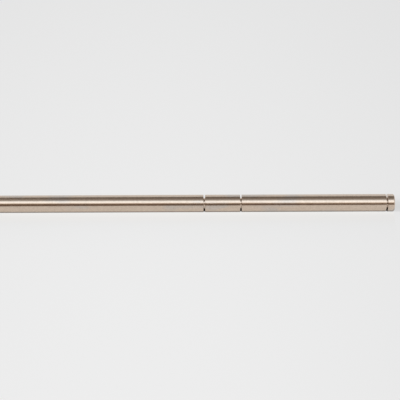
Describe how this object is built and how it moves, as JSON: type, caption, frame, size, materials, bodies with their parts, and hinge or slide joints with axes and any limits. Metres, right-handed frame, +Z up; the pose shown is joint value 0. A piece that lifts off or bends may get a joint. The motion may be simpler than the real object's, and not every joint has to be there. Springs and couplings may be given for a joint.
{
  "type": "grooved shaft",
  "caption": "Slender round steel shaft with chamfered ends and narrow ring grooves that hold a bearing and a hub along it.",
  "frame": {"origin": "on the shaft's axis, at the middle of the bearing seat between the groove nearest the end and the next one", "axes": "+X along the shaft, towards the end that has a groove beside it; +Z up as the shaft lies; the shaft looks the same from all sides of X"},
  "size_m": [0.2, 0.008, 0.008],
  "materials": {
    "ground_steel": "fine ground steel, bright, with a warm tone and a lay that runs round the shaft"
  },
  "bodies": {
    "root": {"shaft": "ground_steel"}
  },
  "joints": []
}
